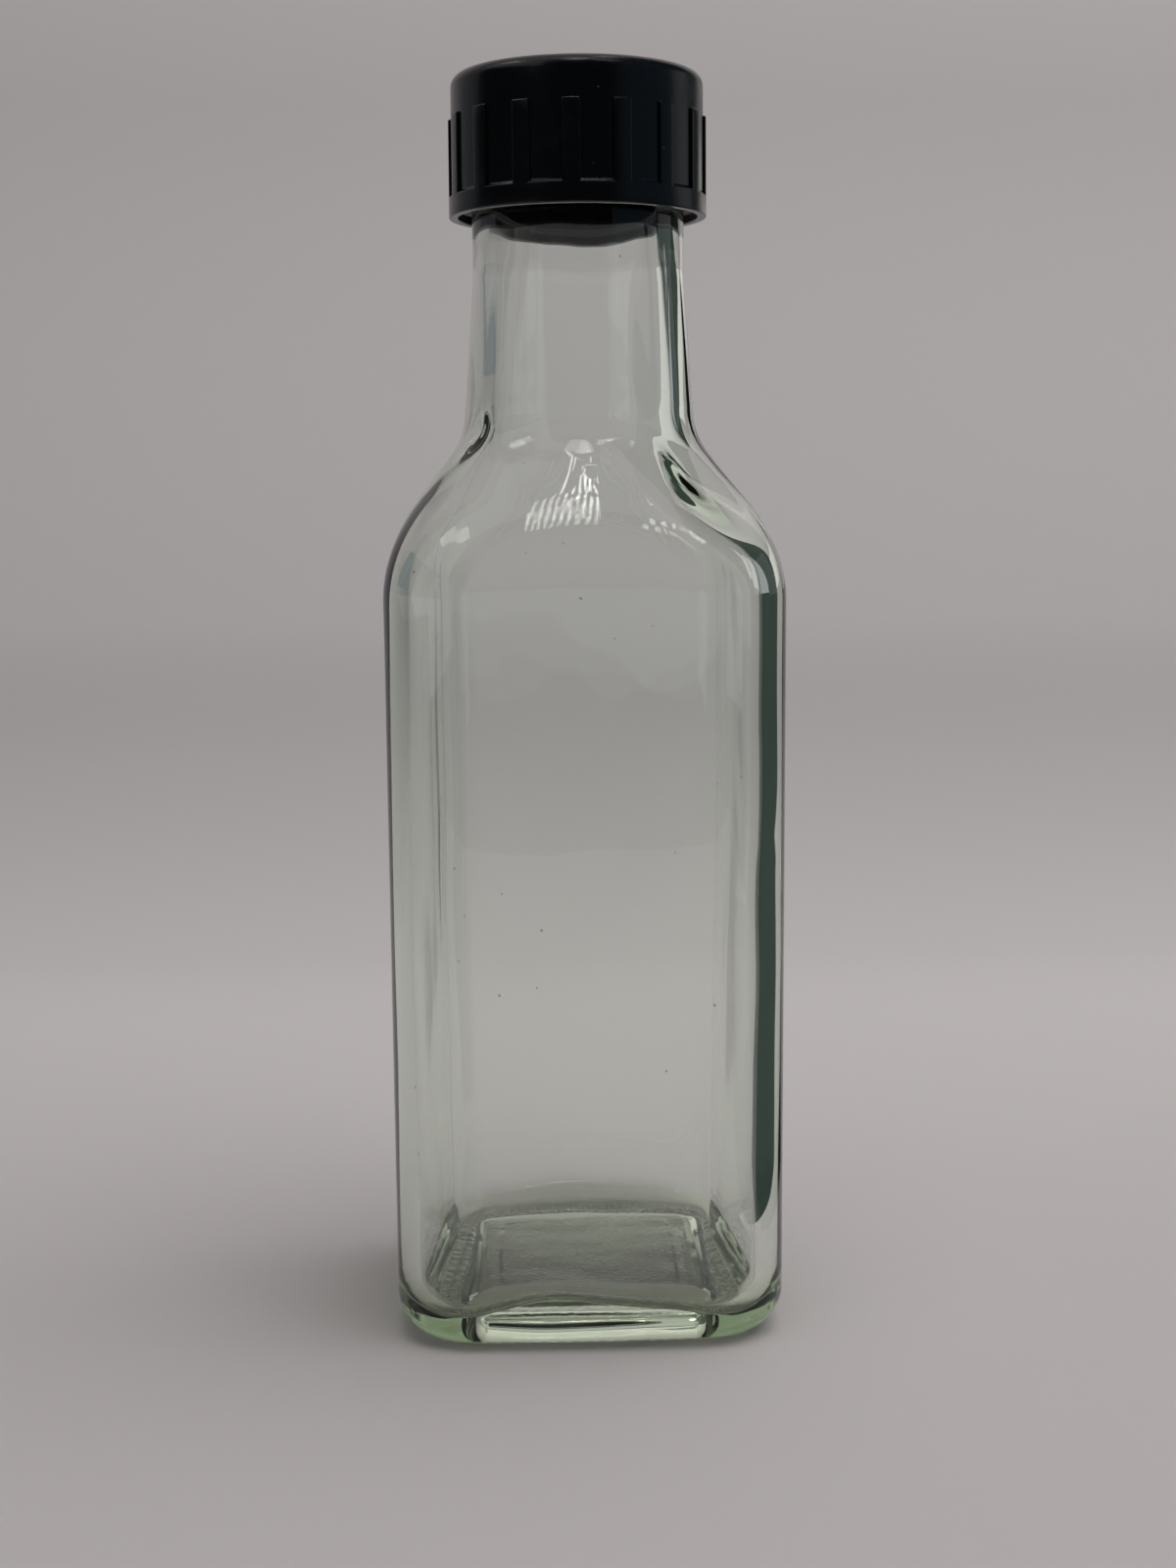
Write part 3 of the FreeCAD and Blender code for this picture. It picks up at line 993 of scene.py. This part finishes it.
def build_lamps(s):
    """Ceiling lamps of many small lights, seen only in the glass and the gloss."""
    glow = card_material("ceiling_lamp", (1.0, 0.99, 0.97), s.lamp_strength)
    # Name, offset from the middle lamp along X and Y, and columns and rows of small lights.
    for name, aside, back, columns, rows in (
            ("middle_lamp", 0, 0, 10, 17), ("front_lamp", 0.22, -0.06, 17, 5),
            ("left_lamp", -0.34, 0.21, 8, 14), ("right_lamp", 0.36, 0.21, 8, 14),
            ("rear_lamp", 0.12, 0.24, 6, 8)):
        build_lamp(s, name, (s.lamp_x + aside, s.lamp_y + back), columns, rows, glow)


def build_lamp(s, name, place, columns, rows, glow):
    """One ceiling lamp: rows of small square lights, facing down."""
    vertices, faces = [], []
    half = s.lamp_dot / 2
    for row in range(rows):
        for column in range(columns):
            x = place[0] + s.lamp_pitch * (column - (columns - 1) / 2)
            y = place[1] + s.lamp_pitch * (row - (rows - 1) / 2)
            start = len(vertices)
            vertices += [(x - half, y - half, s.lamp_height), (x - half, y + half, s.lamp_height),
                         (x + half, y + half, s.lamp_height), (x + half, y - half, s.lamp_height)]
            faces.append([start, start + 1, start + 2, start + 3])
    lamp = mesh_object(name, vertices, faces, glow, smooth=False)
    only_mirrored(lamp)


def build_world():
    """An even grey all round."""
    world = bpy.data.worlds.new("studio_world")
    world.use_nodes = True
    nodes, links = world.node_tree.nodes, world.node_tree.links
    nodes.clear()
    out = nodes.new("ShaderNodeOutputWorld")
    back = fill(nodes.new("ShaderNodeBackground"), {"Color": (0.5, 0.5, 0.5, 1), "Strength": 1.0})
    wire(links, back, 0, out, "Surface")
    bpy.context.scene.world = world


def build_top_light(s):
    """The soft light overhead, and a face at its place whose light reaches the paper through the glass."""
    place, half = Vector((0.25, -0.08, 0.9)), s.box_width / 2
    top = area_light("top_box", place, (0, 0, 0.05), s.box_width, s.box_power)
    top.visible_glossy = False
    top.visible_transmission = False
    strength = s.through_light * s.box_power / (math.pi * s.box_width ** 2)
    glow = card_material("top_glow", (1, 1, 1), strength, lights_paper=True)
    face = card("top_face", [(-half, -half, 0), (-half, half, 0), (half, half, 0), (half, -half, 0)], glow)
    face.matrix_world = top.matrix_basis


def build_camera(s):
    """The camera in front of the bottle, turned about it, tilted down and leaning a little."""
    data = bpy.data.cameras.new("camera")
    data.lens = s.focal_length
    data.sensor_fit = "AUTO"
    data.sensor_width = 36
    data.clip_start = 0.01
    camera = placed("camera", data)
    turn = Matrix.Rotation(-s.camera_side - s.camera_pan, 4, "Z")
    tilt = Matrix.Rotation(math.pi / 2 - s.camera_tilt, 4, "X")
    roll = Matrix.Rotation(s.camera_roll, 4, "Z")
    place = Matrix.Translation((
        -s.camera_distance * math.sin(s.camera_side),
        -s.camera_distance * math.cos(s.camera_side), s.camera_height))
    camera.matrix_world = place @ turn @ tilt @ roll
    bpy.context.scene.camera = camera


class BOTTLE_OT_studio(bpy.types.Operator):
    """Set up the paper sweep, the lights and the camera"""
    bl_idname = "bottle.studio"
    bl_label = "Studio"

    def execute(self, context):
        s = context.scene.studio_sizes
        build_sweep(s)
        build_cards(s)
        build_lamps(s)
        build_world()
        build_top_light(s)
        build_camera(s)
        context.scene.view_settings.view_transform = "Standard"
        return {"FINISHED"}


# ---------------------------------------------------------------- panel and run

class BOTTLE_PT_panel(bpy.types.Panel):
    """Sizes and the steps that build the bottle"""
    bl_idname = "BOTTLE_PT_panel"
    bl_label = "Square glass bottle"
    bl_space_type = "VIEW_3D"
    bl_region_type = "UI"
    bl_category = "Bottle"

    def draw(self, context):
        for operator in STEPS:
            self.layout.operator(operator.bl_idname)
        for group in (context.scene.bottle_sizes, context.scene.cap_sizes, context.scene.studio_sizes):
            box = self.layout.box()
            for name in group.__annotations__:
                box.prop(group, name)


GROUPS = {"bottle_sizes": BottleSizes, "cap_sizes": CapSizes, "studio_sizes": StudioSizes}
STEPS = (BOTTLE_OT_glass, BOTTLE_OT_cap, BOTTLE_OT_studio)


def register():
    for group in GROUPS.values():
        bpy.utils.register_class(group)
    for name, group in GROUPS.items():
        setattr(bpy.types.Scene, name, bpy.props.PointerProperty(type=group))
    for operator in STEPS:
        bpy.utils.register_class(operator)
    bpy.utils.register_class(BOTTLE_PT_panel)


def unregister():
    bpy.utils.unregister_class(BOTTLE_PT_panel)
    for operator in reversed(STEPS):
        bpy.utils.unregister_class(operator)
    for name, group in GROUPS.items():
        delattr(bpy.types.Scene, name)
        bpy.utils.unregister_class(group)


def main():
    register()
    bpy.ops.bottle.glass()
    bpy.ops.bottle.cap()
    bpy.ops.bottle.studio()


if __name__ == "__main__":
    main()
